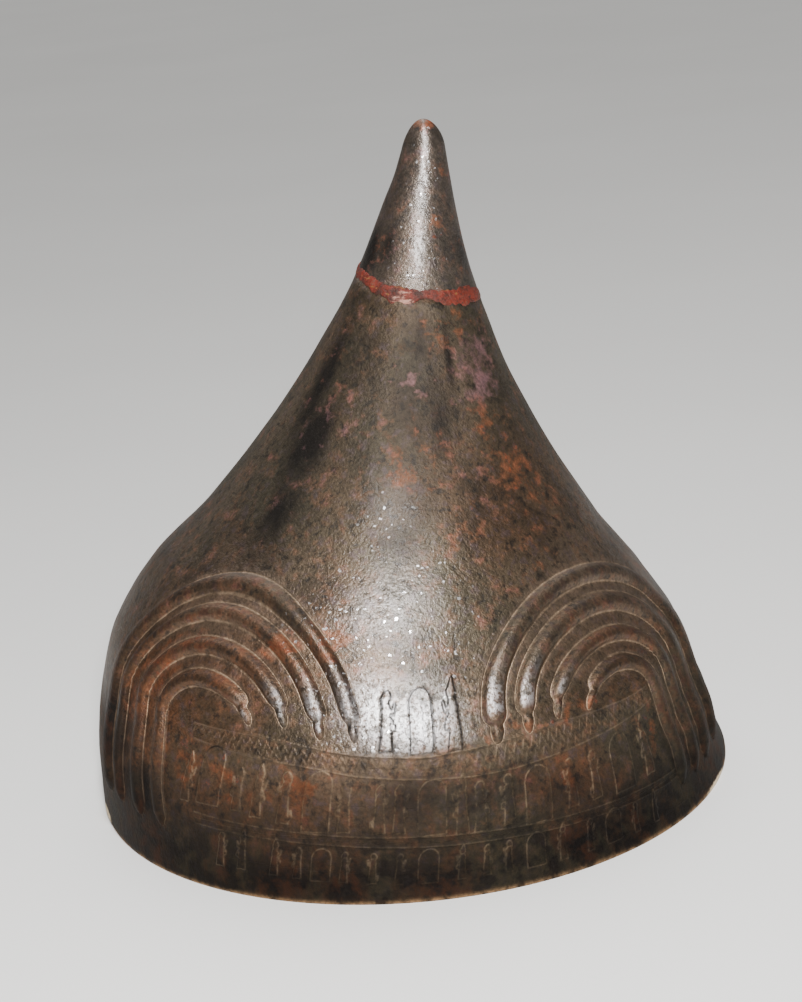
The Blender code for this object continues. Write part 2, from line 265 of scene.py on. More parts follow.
def tree(x, y, tall, wide):
    """A round-topped frame and the strokes of a tree inside it."""
    top = tall - wide
    rail = np.where(y > top, np.hypot(x, y - top) - wide, np.abs(x) - wide)
    rail = np.maximum(rail, -y)
    leaves = capsule(x, y, 0, 0.6, 0, tall - 2.4, 0.40, 0.3)
    step = tall / 8.5
    for level in range(1, 8):
        base = level * step
        reach = wide * 0.60 if level < 7 else wide * 0.35
        for side in (-1, 1):
            leaf = capsule(x, y, 0, base - 0.2, side * reach, base + 0.8, 0.22, 0.46)
            leaves = np.minimum(leaves, leaf)
    return rail, leaves


# Guide lines: azimuth, height in millimetres
BAND_TOP = np.array([
    (-46, 54.2), (-31.5, 53.0), (-21, 49.9), (-13.7, 47.6), (-1.2, 45.1), (11.3, 45.7),
    (17, 46.3), (24, 47.2), (35, 46.2), (42, 45.5), (50, 45.4),
])
BAND_LOW = np.array([
    (-46, 49.5), (-31.5, 46.3), (-20, 43.5), (-13.7, 41.2), (-5.7, 39.3), (7, 37.2),
    (14.7, 37.1), (30, 38.4), (37, 38.9), (45, 40.2), (50, 41.2),
])
ROW_TOP = np.array([
    (-46, 25.5), (-28, 23.9), (-17.7, 22.7), (-4, 21.0), (9, 19.5), (17, 18.4), (44, 16.5),
])
ROW_LOW = np.array([
    (-46, 21.7), (-28, 20.6), (-18, 19.6), (-4, 17.7), (9, 16.4), (17, 15.4), (44, 13.6),
])
# Each line and its relief in millimetres
GUIDE_LINES = ((BAND_TOP, 0.34), (BAND_LOW, 0.28), (ROW_TOP, 0.24), (ROW_LOW, 0.20))
GUIDE_WIDTH = 0.5
CHEVRON_STEP = 3.4
CHEVRON_RELIEF = 0.20

# Figures and trees: azimuth, foot and height in millimetres, kind, facing
UPPER_ROW = (
    (-47.5, 28.4, 16.0, "hat", 1), (-42.2, 29.0, 19.0, "tree", 1),
    (-36.2, 28.6, 15.0, "plain", -1), (-32.4, 27.4, 16.5, "hat", 1),
    (-27.4, 26.2, 17.6, "train", -1), (-21.7, 23.9, 19.0, "tree", 1),
    (-16.8, 23.9, 16.6, "plain", -1), (-10.9, 23.2, 16.2, "train", 1),
    (-7.6, 22.7, 16.2, "plain", 1), (-2.2, 21.3, 17.0, "tree", 1),
    (2.8, 20.3, 17.6, "hat", -1), (5.9, 20.1, 16.6, "plain", 1),
    (11.1, 20.6, 16.4, "plain", -1), (16.3, 18.9, 17.4, "tree", 1),
    (23.2, 20.6, 15.8, "plain", -1), (28.2, 20.4, 15.8, "train", 1),
    (34.6, 19.2, 17.6, "tree", 1), (41.4, 20.2, 17.6, "hat", -1),
)
LOWER_ROW = (
    (-41.0, 8.8, 12.8, "plain", 1), (-36.6, 9.0, 13.2, "hat", -1),
    (-30.4, 8.6, 12.2, "hat", 1), (-26.2, 8.2, 11.4, "plain", -1),
    (-22.2, 7.7, 11.0, "tree", 1), (-18.3, 7.4, 11.0, "plain", 1),
    (-13.5, 6.9, 10.8, "train", -1), (-9.2, 6.2, 10.8, "plain", 1),
    (-4.4, 6.0, 11.0, "tree", 1), (1.2, 6.0, 10.6, "hat", -1),
    (5.4, 5.9, 10.4, "plain", 1), (9.2, 5.7, 10.4, "plain", -1),
    (14.0, 5.3, 10.6, "tree", 1), (19.0, 5.0, 11.2, "hat", -1),
    (24.4, 4.9, 10.8, "plain", 1), (29.4, 4.8, 10.4, "tree", 1),
    (34.6, 4.6, 10.2, "plain", -1), (39.6, 4.5, 9.8, "hat", 1),
)
CENTRE = (
    (-7.6, 48.0, 18.6, "plain", 1), (-1.4, 46.4, 18.6, "tree", 1), (4.6, 45.9, 20.0, "hat", -1),
)
# Figures, their relief and the half width of their trees in millimetres
GROUPS = ((UPPER_ROW, 0.50, 4.7), (LOWER_ROW, 0.42, 3.3), (CENTRE, 0.60, 3.9))
SLANT = 0.25
UNROLLED_RADIUS = 112.0


def arch_value(a, z, middle, draw, spring, front, rear, top):
    """Distance from an arch's middle as a share of the way to its edge."""
    half = np.where(a < middle, middle - front, rear - middle)
    drawn_in = 1 - (spring - z) / spring * (1 - draw)
    half = half * np.where((a >= middle) & (z < spring), drawn_in, 1.0)
    up = np.clip((z - spring) / (top * ARCH_HEIGHT - spring), 0, None)
    return np.hypot((a - middle) / half, up)


def rib_field(phi, z, columns, rows):
    """Height of the ribs, and each point's distance into the nearest rib."""
    lift = np.zeros_like(phi)
    deep = np.full_like(phi, -FIELD_LIMIT)
    half_width = sections(rows)[0]
    for side, *edges, front_end, spring in RIBS:
        middle, draw, rear_end, turn = SIDES[side]
        low, spring, rear_low = (share * ARCH_HEIGHT for share in (front_end, spring, rear_end))
        a = phi * side
        along = (z - low) / HEAD_LENGTH
        front = a < middle
        a = a + np.where(front, turn * np.clip(1 - along / 2, 0, 1) ** 1.5, 0.0)
        outer = 1.0 - arch_value(a, z, middle, draw, spring, *edges[:3])
        inner = arch_value(a, z, middle, draw, spring, *edges[3:]) - 1.0
        total = outer + inner
        total = np.where(np.abs(total) < 1e-3, 1e-3, total)
        across = outer / total
        slope = np.hypot(
            np.gradient(across, columns, axis=1) / (half_width[:, None] * MILLIMETRES),
            np.gradient(across, rows * MILLIMETRES, axis=0),
        )
        wide = 1.0 / np.clip(slope, *RIB_SLOPES)

        # narrow heads in front, rounded ends at the rear
        head = np.clip(along, 0, 1)
        rear_share = np.sqrt(np.clip((z - rear_low) / END_LENGTH, 0, 1))
        share = np.where(front, np.interp(head, HEAD[:, 0], HEAD[:, 1]), rear_share)
        tall = np.where(front, np.interp(head, HEAD[:, 0], HEAD[:, 2]), rear_share)
        pinched = total < 0.02
        gone = np.where(front, z < low, z < rear_low) | (a < 0) | pinched
        share = np.maximum(share, 0.05)
        f = 0.5 + (across - 0.5) / share
        dome = np.sin(np.pi * np.clip(f, 0, 1)) ** 2
        dome = dome / (dome + DOME_ROUNDING) * (1 + DOME_ROUNDING)
        lift = np.maximum(lift, np.where(gone, 0, dome * tall * RIB_RELIEF))

        inside = np.minimum(f, 1 - f) * wide * share
        ends = np.where(front, z - low, z - rear_low) * MILLIMETRES
        past_end = np.where(pinched, -FIELD_LIMIT, np.minimum(inside, ends))
        inside = np.where(gone, past_end, inside)
        inside = np.where(a < 0, -FIELD_LIMIT, inside)
        deep = np.maximum(deep, inside)
    return lift, np.clip(deep, -FIELD_LIMIT, FIELD_LIMIT)


def guide(table, phi):
    return np.interp(phi, table[:, 0], table[:, 1])


def guide_lines(phi, y, sides):
    """Relief of the guide lines, and each point's height above the nearest one."""
    lift = np.zeros_like(phi)
    nearest = np.full_like(phi, FAR)
    for table, size in GUIDE_LINES:
        off = y - guide(table, phi)
        lift = np.maximum(lift, size * bell(off, 0, GUIDE_WIDTH) * sides)
        nearest = np.where(np.abs(off) < np.abs(nearest), off, nearest)
    return lift, np.where(sides > 0.5, nearest, FAR)


def chevrons(phi, x, y, sides):
    """Relief and field of the hatched chevrons between the band's two lines."""
    top, low = guide(BAND_TOP, phi), guide(BAND_LOW, phi)
    v = (y - low) / np.maximum(top - low, 1.0)
    zigzag = np.abs(((x / CHEVRON_STEP) % 1.0) - 0.5) * 2.0
    rail = np.abs(((v - 0.12) * 2.0 - zigzag * 0.9) % 1.0 - 0.5)
    in_band = step_up(0.08, 0.18, v) * step_up(0.92, 0.82, v) * sides
    lift = CHEVRON_RELIEF * step_up(0.30, 0.10, rail) * in_band
    return lift, np.where(in_band > 0.1, (0.20 - rail) * 3.5, -FIELD_LIMIT)


def people_and_trees(phi, y):
    """Relief of the figures and trees, and each point's distance into the nearest one."""
    lift = np.zeros_like(phi)
    deep = np.full_like(phi, -FIELD_LIMIT)
    for members, height, tree_width in GROUPS:
        for azimuth, foot, tall, kind, facing in members:
            near = (np.abs(phi - azimuth - 1.0) < 5.5) & (y > foot - 3) & (y < foot + tall + 3)
            if not near.any():
                continue
            py = y[near] - foot
            px = np.radians(phi[near] - azimuth) * UNROLLED_RADIUS - py * SLANT
            if kind == "tree":
                rail, leaves = tree(px, py, tall, tree_width)
                shape = height * (0.35 * raised(rail) + 0.45 * raised(leaves))
                shape = shape + height * 0.5 * bell(rail, 0, 0.5)
                deep[near] = np.maximum(deep[near], -rail)
            else:
                form = figure(px * facing, py, tall, kind)
                shape = height * raised(form)
                deep[near] = np.maximum(deep[near], -form)
            lift[near] = np.maximum(lift[near], shape)
    return lift, deep


def relief(phi, z, columns, rows):
    """Height of the relief in metres, and the fields that the bronze reads in millimetres."""
    ribs, rib = rib_field(phi, z, columns, rows)
    y = z * MILLIMETRES
    x = np.radians(phi) * UNROLLED_RADIUS
    sides = step_up(-47.5, -44, phi) * step_up(50, 47.5, phi)
    line_lift, lines = guide_lines(phi, y, sides)
    chevron_lift, hatch = chevrons(phi, x, y, sides)
    drawn_lift, drawn = people_and_trees(phi, y)
    fine = np.maximum(np.maximum(line_lift, chevron_lift), drawn_lift)
    wear = 0.78 + 0.22 * value_noise(x / 5.0, y / 5.0, 11)
    total = ribs + fine * wear / MILLIMETRES - RIB_EDGE_DEPTH * bell(rib, 0, RIB_EDGE_WIDTH)
    limit = lambda field: np.clip(field, -FIELD_LIMIT, FIELD_LIMIT)
    return total, rib, limit(drawn), limit(lines), hatch


# Patches: azimuth, height (millimetres), reach across (degrees), reach up (millimetres), strength.
# Most are stains; some pale and bare ones are painted sheen and painted highlight
RUST = (
    (-17, 79, 6, 8, 1.0), (-28, 78, 8, 6, 1.1), (-57, 67, 8, 12, 0.9), (-64, 58, 6, 12, 0.8),
    (-49, 77, 9, 8, 0.8), (-40, 66, 7, 12, 0.5), (-23.5, 37, 5, 8, 0.9), (-38, 36, 6, 12, 0.8),
    (-47, 42, 6, 14, 0.8), (-55, 40, 9, 16, 0.6), (-30, 33, 8, 7, 0.4), (22, 30, 4, 9, 0.6),
    (24, 30, 4, 7, 0.8), (42, 70, 8, 5, 0.5), (33, 49, 4, 4, 1.0), (26, 48, 5, 3, 0.8),
    (18, 49, 4, 3, 0.6), (45.5, 32, 3, 7, 0.7), (42, 116, 16, 18, 0.8), (34, 134, 12, 12, 0.75),
    (18, 106, 12, 10, 0.5), (-2, 124, 8, 5, 0.9), (58, 10, 6, 5, 0.8), (5, 124, 20, 20, 0.35),
    (-62, 44, 8, 12, 0.5), (52, 56, 5, 9, 0.5), (12, 47, 4, 3, 0.5), (28, 165, 26, 8, 0.7),
    (-16, 34, 4, 7, 0.4), (38, 92, 12, 8, 0.4), (-12, 90, 7, 6, 0.4), (-50, 150, 20, 10, 0.3),
    (130, 60, 40, 40, 0.5), (-140, 100, 40, 40, 0.45),
)
VIOLET = (
    (43, 155, 18, 6, 1.2), (40, 144, 16, 6, 1.3), (-5, 150, 18, 7, 0.6), (-40, 138, 24, 14, 0.35),
    (30, 116, 20, 12, 0.35), (150, 130, 40, 20, 0.4),
)
DARK = (
    (-58, 152, 10, 24, 0.85), (-48, 130, 12, 18, 1.0), (-46, 112, 12, 16, 0.9),
    (21, 156, 4.5, 17, 0.8), (38, 79, 14, 6, 0.4), (-22, 6, 9, 3, 0.9), (60, 78, 10, 10, 0.4),
    (-38, 160, 20, 10, 0.6), (-45, 100, 14, 9, 0.6), (46, 14, 20, 11, 0.8), (-5, 7, 45, 6, 0.7),
    (72, 130, 24, 24, 0.5), (-70, 18, 24, 16, 0.6), (62, 40, 12, 20, 0.4), (30, 8, 22, 9, 0.9),
    (-120, 60, 30, 40, 0.5), (120, 110, 30, 30, 0.5), (0, 150, 26, 36, 0.74),
    (12, 138, 12, 18, 0.74), (3, 112, 15, 20, 0.5), (-3, 104, 14, 9, 0.72), (2, 160, 9, 12, 0.82),
    (-3, 33, 9, 9, 0.7), (11, 31, 9, 9, 0.7), (-60, 26, 9, 14, 1.0), (-72, 42, 14, 20, 1.0),
    (22, 27, 7, 7, 0.5), (5, 30, 14, 6, 0.6),
)
WARM = (
    (-58, 55, 20, 26, 0.95), (-40, 72, 16, 14, 0.8), (-40, 34, 14, 12, 0.6), (-25, 36, 8, 9, 0.5),
    (24, 29, 7, 8, 0.8), (48, 62, 16, 16, 0.35), (42, 50, 12, 8, 0.4), (40, 115, 20, 22, 0.35),
    (-22, 74, 8, 12, 0.4), (150, 60, 50, 40, 0.5), (-140, 70, 40, 40, 0.5),
)
# Pale patina, and at the far sides (-78 and 66 degrees) tall painted sheen along the outline
PALE_AND_SHEEN = (
    (48, 82, 17, 13, 1.2), (58, 68, 8, 18, 0.6), (30, 72, 9, 12, 0.6), (18, 64, 7, 10, 0.4),
    (-47, 82, 16, 8, 0.5), (30, 150, 14, 20, 0.5), (-40, 98, 20, 8, 0.4), (48, 100, 14, 12, 0.3),
    (-14, 40, 12, 6, 0.3), (60, 74, 6, 6, 1.2), (66, 125, 8, 40, 0.4), (-78, 125, 9, 50, 0.5),
)
# Pale bare metal set where the lamps' highlight falls, in the middle and on the ribs' front legs:
# partly wear, partly painted highlight
BARE_AND_HIGHLIGHT = ((-7.5, 60, 5, 8, 0.9), (-2, 56, 7, 8, 0.95), (4.5, 57, 3, 8, 0.35), (-4, 88, 9, 8, 0.22))
BARE_LEGS_AND_HIGHLIGHT = (
    (-12.7, 57, 4, 10, 0.75), (-19, 58, 3, 9, 1.0), (-25.8, 60, 3, 6, 0.9), (-32.5, 60, 3, 4, 0.7),
    (13.6, 57, 4, 9, 1.0), (20, 56, 3, 8, 1.0), (26.6, 57, 3, 6, 0.9), (33.2, 56, 3, 4, 0.6),
)
BARE_LEGS_HIGHLIGHT_STRENGTH = 0.55
# Coat gloss, which also decides where the painted glint specks show
POLISH = (
    (-5, 82, 19, 19, 0.9), (-5, 60, 12, 17, 1.0), (-8, 112, 11, 10, 0.4), (-18, 62, 6, 8, 0.5),
)
TIP_RUST = (
    (20, 196, 14, 8, 0.7), (-50, 190, 20, 8, 0.6), (70, 190, 30, 12, 0.6), (10, 231, 180, 4, 1.0),
    (40, 214, 18, 7, 0.5), (-30, 206, 16, 6, 0.4),
)
TIP_VIOLET = ((-40, 188, 26, 9, 0.5), (10, 228, 60, 6, 0.7))
TIP_DARK = (
    (-75, 190, 26, 12, 0.8), (62, 186, 26, 12, 0.8), (-45, 192, 14, 8, 0.7), (70, 210, 30, 14, 0.5),
)
TIP_POLISH = ((-2, 205, 34, 60, 0.62),)
# Pale bare metal on the tip's highlight strip: partly wear, partly painted highlight
TIP_BARE_AND_HIGHLIGHT = ((-3, 216, 9, 14, 0.35), (-3, 192, 7, 9, 0.30))


def patches(table, phi, y):
    total = np.zeros_like(phi)
    for azimuth, height, across, up, strength in table:
        away = ((phi - azimuth) / across) ** 2 + ((y - height) / up) ** 2
        total = np.maximum(total, strength * np.exp(-away))
    return total


# Meshes
def add_mesh(name, points, faces):
    mesh = bpy.data.meshes.new(name)
    mesh.from_pydata(points.tolist(), [], faces.tolist())
    mesh.validate()
    mesh.polygons.foreach_set("use_smooth", [True] * len(mesh.polygons))
    mesh.update()
    thing = bpy.data.objects.new(name, mesh)
    bpy.context.scene.collection.objects.link(thing)
    return thing


def ring_quads(low, high, count):
    """Quads between two rings of points that start at these numbers."""
    c = np.arange(count)
    n = (c + 1) % count
    return np.stack([low + c, low + n, high + n, high + c], -1)


def grid_faces(rows, columns, offset=0, turned=False):
    """Quads of a grid whose columns wrap round."""
    quads = np.concatenate([
        ring_quads(row * columns, (row + 1) * columns, columns) for row in range(rows - 1)
    ])
    return (quads[:, ::-1] if turned else quads) + offset


def paint(thing, name, values):
    layer = thing.data.attributes.new(name, "FLOAT", "POINT")
    layer.data.foreach_set("value", np.asarray(values, np.float32).ravel())


def spaced(low, high, step):
    return np.linspace(low, high, max(2, int(round((high - low) / step))) + 1)[:-1]


# The bowl's grid: azimuths where its spacing changes, and nominal heights in metres
DRAWN_SIDE = 50
RIB_SIDE = 88
DRAWN_TOP = 0.067
RIB_TOP = 0.098
LEVEL_TOP = 0.120
BOWL_TOP = 0.180
INNER_ROWS = 9


def bowl_grid():
    """Azimuths and nominal heights, close together where the relief is."""
    coarse = 1.0
    back, side, front = 4.6, 0.50 * coarse, 0.30 * coarse
    columns = np.concatenate([
        spaced(-180, -RIB_SIDE, back), spaced(-RIB_SIDE, -DRAWN_SIDE, side),
        spaced(-DRAWN_SIDE, DRAWN_SIDE, front),
        spaced(DRAWN_SIDE, RIB_SIDE, side), spaced(RIB_SIDE, 180, back),
    ])
    rows = np.concatenate([
        spaced(0, 0.0010, 0.0005), spaced(0.0010, DRAWN_TOP, 0.00057 * coarse),
        spaced(DRAWN_TOP, RIB_TOP, 0.00078 * coarse), spaced(RIB_TOP, LEVEL_TOP, 0.0030),
        spaced(LEVEL_TOP, BOWL_TOP, 0.0042), [BOWL_TOP],
    ])
    return columns, rows


def unevenness(azimuth, y, below_edge):
    """Slight dents of the hammered wall in metres, none at the rim or the break."""
    hush = step_up(0.0, 12.0, y) * step_up(0.0, 0.1, below_edge / 0.05)
    dents = ring_noise(azimuth, y / 16.0, 3, 22) * 0.00035
    dents += ring_noise(azimuth, y / 6.0, 4, 60) * 0.00008
    return (dents - 0.0002) * hush


def crust_field(phi, y):
    """Pale crust at the left and right ends of the rim."""
    left = np.exp(-(((phi + 82) / 3.5) ** 2) - ((y - 2.5) / 2.2) ** 2)
    right = np.exp(-(((phi - 62) / 6) ** 2) - ((y - 0.4) / 1.1) ** 2)
    return np.maximum(left, 0.9 * right)


def build_bowl():
    columns, nominal = bowl_grid()
    azimuth = np.radians(columns)
    a, v = np.meshgrid(azimuth, nominal)
    edge = seam(azimuth)[1] - SEAM_GAP
    # the rows are level up to LEVEL_TOP, and from there they bend towards the break line
    share = (v - LEVEL_TOP) / (BOWL_TOP - LEVEL_TOP)
    z = np.where(v < LEVEL_TOP, v, LEVEL_TOP + share * (edge[None, :] - LEVEL_TOP))
    phi = np.degrees(a)
    y = z * MILLIMETRES
    lift, rib, drawn, lines, hatch = relief(phi, z, columns, nominal)
    lift = lift + unevenness(a, y, edge[None, :] - z)
    crust = crust_field(phi, y)
    lift = lift - 0.00030 * bell(y, 0, 0.6) + 0.00025 * crust * step_up(0, 2, y)
    outer = surface(a, z, lift)
    outer[0, :, 2] = 0.0

    # plain inner wall on fewer rows, joined to both edges
    keep = np.unique(np.searchsorted(nominal, np.linspace(0, 0.1795, INNER_ROWS)))
    inner = surface(a[keep], z[keep], -SHEET)
    inner[0, :, 2] = 0.0
    count, base = len(azimuth), outer.shape[0] * outer.shape[1]
    faces = np.concatenate([
        grid_faces(len(nominal), count),
        grid_faces(len(keep), count, base, True),
        ring_quads(base, 0, count),
        ring_quads(base - count, base + (len(keep) - 1) * count, count),
    ])
    points = np.concatenate([outer.reshape(-1, 3), inner.reshape(-1, 3)])
    thing = add_mesh("bowl_relief", points, faces)

    # pale bare metal on the ribs' legs and in the middle: partly wear, partly painted highlight
    legs = patches(BARE_LEGS_AND_HIGHLIGHT, phi, y) * step_up(1.7, 2.7, rib) * step_up(53, 56, y)
    bare_and_highlight = np.maximum(patches(BARE_AND_HIGHLIGHT, phi, y), legs * BARE_LEGS_HIGHLIGHT_STRENGTH)
    for name, field, inside in (
        ("rib", rib, -3), ("drawn", drawn, -3), ("lines", lines, 3), ("hatch", hatch, -3),
        ("rust", patches(RUST, phi, y), 0.3), ("violet", patches(VIOLET, phi, y), 0),
        ("warm", patches(WARM, phi, y), 0.3),
        ("polish", patches(POLISH, phi, y) * step_up(46, 51, y), 0),
        ("pale", patches(PALE_AND_SHEEN, phi, y), 0.2), ("bare_and_highlight", bare_and_highlight * step_up(45, 48, y), 0),
        ("dark", patches(DARK, phi, y), 0.6), ("rim", bell(y, 0, 0.9), 0), ("crust", crust, 0),
    ):
        inner_values = np.full(len(keep) * count, float(inside))
        paint(thing, name, np.concatenate([field.ravel(), inner_values]))
    return thing


# The tip: its lap reaches this far below the break, inside the neck
LAP_LENGTH = 0.007
LAP_CLEARANCE = 0.0003
TIP_WALL = 0.003
HOLLOW_TOP_SHARE = 0.93


def cap_quads(start, count, turned):
    """Quads straight across a closed ring of points."""
    quads = np.array([
        [start + k, start + k - 1, start + (count - k) % count, start + count - k - 1]
        for k in range(1, count // 2)
    ])
    return quads[:, ::-1] if turned else quads


def build_tip():
    azimuth = np.radians(np.arange(-180, 180, 2.5))
    count = len(azimuth)
    middle = seam(azimuth)[1]
    edge = middle + SEAM_GAP
    shares = np.concatenate([
        np.linspace(0, 0.80, 46), 0.80 + 0.2 * np.sin(np.linspace(0, math.pi / 2, 30)[1:-1]),
    ])
    a, s = np.meshgrid(azimuth, shares)
    z = edge[None, :] + (HEIGHT - edge[None, :]) * s
    calm = step_up(1.0, 0.9, s) * step_up(0.0, 0.06, s)
    outer = surface(a, z, (ring_noise(a, z * 110, 21, 9) * 0.00018 - 0.0001) * calm)
    last = outer[-1].mean(0)
    cap = last + (outer[-1] - last) * 0.02
    cap[:, 2] = HEIGHT

    foot = middle - LAP_LENGTH
    hollow_height = HEIGHT * HOLLOW_TOP_SHARE - foot
    hollow = [
        surface(azimuth, foot + hollow_height * share, -TIP_WALL) for share in (0.3, 0.6, 0.85, 1.0)
    ]
    closing = hollow[-1].mean(0)
    hollow.append(closing + (hollow[-1] - closing) * 0.02)

    # one chain of rings: down the outside, round the lap and up the hollow
    chain = [
        cap, *outer[::-1], surface(azimuth, edge, -SHEET),
        surface(azimuth, foot, -SHEET - LAP_CLEARANCE), surface(azimuth, foot, -TIP_WALL), *hollow,
    ]
    points = np.concatenate(chain)
    faces = np.concatenate([
        grid_faces(len(chain), count, 0, True),
        cap_quads(0, count, False), cap_quads((len(chain) - 1) * count, count, True),
    ])
    thing = add_mesh("tip_worn", points, faces)
    phi = np.degrees(np.concatenate([azimuth] * len(chain)))
    y = points[:, 2] * MILLIMETRES
    for name, field in (
        ("rib", -3), ("drawn", -3), ("lines", 3), ("hatch", -3), ("rust", patches(TIP_RUST, phi, y)),
        ("violet", patches(TIP_VIOLET, phi, y)), ("dark", patches(TIP_DARK, phi, y)), ("rim", 0),
        ("crust", 0), ("warm", 0.1), ("polish", patches(TIP_POLISH, phi, y)), ("pale", 0),
        ("bare_and_highlight", patches(TIP_BARE_AND_HIGHLIGHT, phi, y)),
    ):
        paint(thing, name, np.zeros(len(points)) + field)
    return thing


def ragged(azimuth, seed, size):
    """Uneven edge of the filler in metres, from coarse to fine."""
    return sum(
        ring_noise(azimuth, 0 * azimuth + 3.3, seed + cells, cells) * share * size
        for cells, share in ((40, 0.5), (96, 0.35), (200, 0.25))
    )


def build_filler():
    """Lumpy filler pressed over both edges."""
    azimuth = np.radians(np.arange(-180, 180, 1.25))
    a, s = np.meshgrid(azimuth, np.linspace(0, 1, 21))
    low, _, high = seam(a)
    low = low + 0.0001 + ragged(a, 31, 0.0011)
    high = np.maximum(high + ragged(a, 47, 0.0011), low + 0.0009)
    z = low + (high - low) * s
    swell = np.sin(np.pi * s) ** 0.35
    lumps = ring_noise(a, z * 600, 33, 34)
    cracks = ring_noise(a, z * 1200, 34, 80)
    lift = (0.00034 + 0.00016 * lumps + 0.00010 * cracks) * swell - 0.00022 * (1 - swell)
    chain = [*surface(a, z, lift), *surface(a[::-5], z[::-5], -SHEET - 0.0002)]
    points = np.concatenate(chain)
    count = len(azimuth)
    last = (len(chain) - 1) * count
    faces = np.concatenate([grid_faces(len(chain), count), ring_quads(last, 0, count)])
    thing = add_mesh("filler_lumps", points, faces)
    phi = np.degrees(a)
    pale = bell(phi, -14, 15) * (0.55 + 0.45 * (1 - s)) + 0.35 * bell(phi, -55, 12)
    values = np.zeros(len(points))
    values[: pale.size] = pale.ravel()
    paint(thing, "pale", values)
    return thing


# Materials
class Nodes:
    """A material with short names for the nodes that it uses."""

    def __init__(self, name):
        self.material = bpy.data.materials.new(name)
        self.material.use_nodes = True
        self.tree = self.material.node_tree
        self.shader = self.tree.nodes["Principled BSDF"]
        self.place = self.tree.nodes.new("ShaderNodeTexCoord").outputs["Object"]

    def put(self, socket, value):
        if isinstance(value, bpy.types.NodeSocket):
            self.tree.links.new(value, socket)
        elif isinstance(value, tuple) and len(value) == 3 and socket.type == "RGBA":
            socket.default_value = (*value, 1.0)
        else:
            socket.default_value = value

    def node(self, kind, inputs=(), out=0, **settings):
        made = self.tree.nodes.new(kind)
        for key, value in settings.items():
            setattr(made, key, value)
        for key, value in dict(inputs).items():
            self.put(made.inputs[key], value)
        return made.outputs[out]

    def noise(self, scale, detail=4.0, rough=0.55, stretch=None, shift=None):
        place = self.place
        if stretch or shift:
            place = self.node("ShaderNodeMapping", {
                "Vector": place, "Scale": stretch or (1, 1, 1), "Location": shift or (0, 0, 0)})
        return self.node("ShaderNodeTexNoise", {
            "Vector": place, "Scale": scale, "Detail": detail, "Roughness": rough})

    def ramp(self, value, low, high, start=0.0, end=1.0, kind="LINEAR"):
        return self.node("ShaderNodeMapRange", {
            "Value": value, "From Min": low, "From Max": high, "To Min": start, "To Max": end,
        }, interpolation_type=kind)

    def smooth(self, value, low, high, start=0.0, end=1.0):
        return self.ramp(value, low, high, start, end, "SMOOTHSTEP")

    def math(self, kind, one, two=0.5):
        return self.node("ShaderNodeMath", {0: one, 1: two}, operation=kind)

    def add(self, *values):
        total = values[0]
        for value in values[1:]:
            total = self.math("ADD", total, value)
        return total

    def times(self, *values):
        total = values[0]
        for value in values[1:]:
            total = self.math("MULTIPLY", total, value)
        return total

    def mix(self, factor, one, two):
        made = self.tree.nodes.new("ShaderNodeMix")
        made.data_type = "RGBA"
        self.put(made.inputs[0], factor)
        self.put(made.inputs[6], one)
        self.put(made.inputs[7], two)
        return made.outputs[2]

    def attribute(self, name):
        made = self.tree.nodes.new("ShaderNodeAttribute")
        made.attribute_name = name
        return made.outputs["Fac"]

    def stroke(self, name, width):
        """One on the field's zero line, falling to nothing at the width."""
        away = self.math("ABSOLUTE", self.attribute(name), 0.0)
        return self.smooth(away, 0.0, width, 1.0, 0.0)

    def moved(self, place, by):
        return self.node("ShaderNodeVectorMath", {0: place, 1: by}, operation="ADD")

    def specks(self, place):
        """Small spots of very different sizes, most of them faint."""
        wander = self.node("ShaderNodeTexNoise", {"Vector": place, "Scale": 900.0, "Detail": 1.0}, 1)
        wander = self.node(
            "ShaderNodeVectorMath", {0: wander, 1: (0.0018, 0.0018, 0.0012)}, operation="MULTIPLY"
        )
        cell = {"Vector": self.moved(place, wander), "Scale": 520.0, "Randomness": 1.0}
        away = self.node("ShaderNodeTexVoronoi", cell)
        chance = self.node(
            "ShaderNodeSeparateColor", {"Color": self.node("ShaderNodeTexVoronoi", cell, 1)}
        )
        reach = self.ramp(chance, 0.50, 1.0, 0.06, 0.34)
        edge = self.math("SUBTRACT", reach, away)
        return self.times(self.ramp(edge, 0.0, 0.10), self.ramp(chance, 0.50, 0.85, 0.0, 1.0))

    def bump(self, height):
        return self.node(
            "ShaderNodeBump", {"Height": height, "Strength": 1.0, "Distance": 0.001}
        )

    def set(self, name, value):
        self.put(self.shader.inputs[name], value)


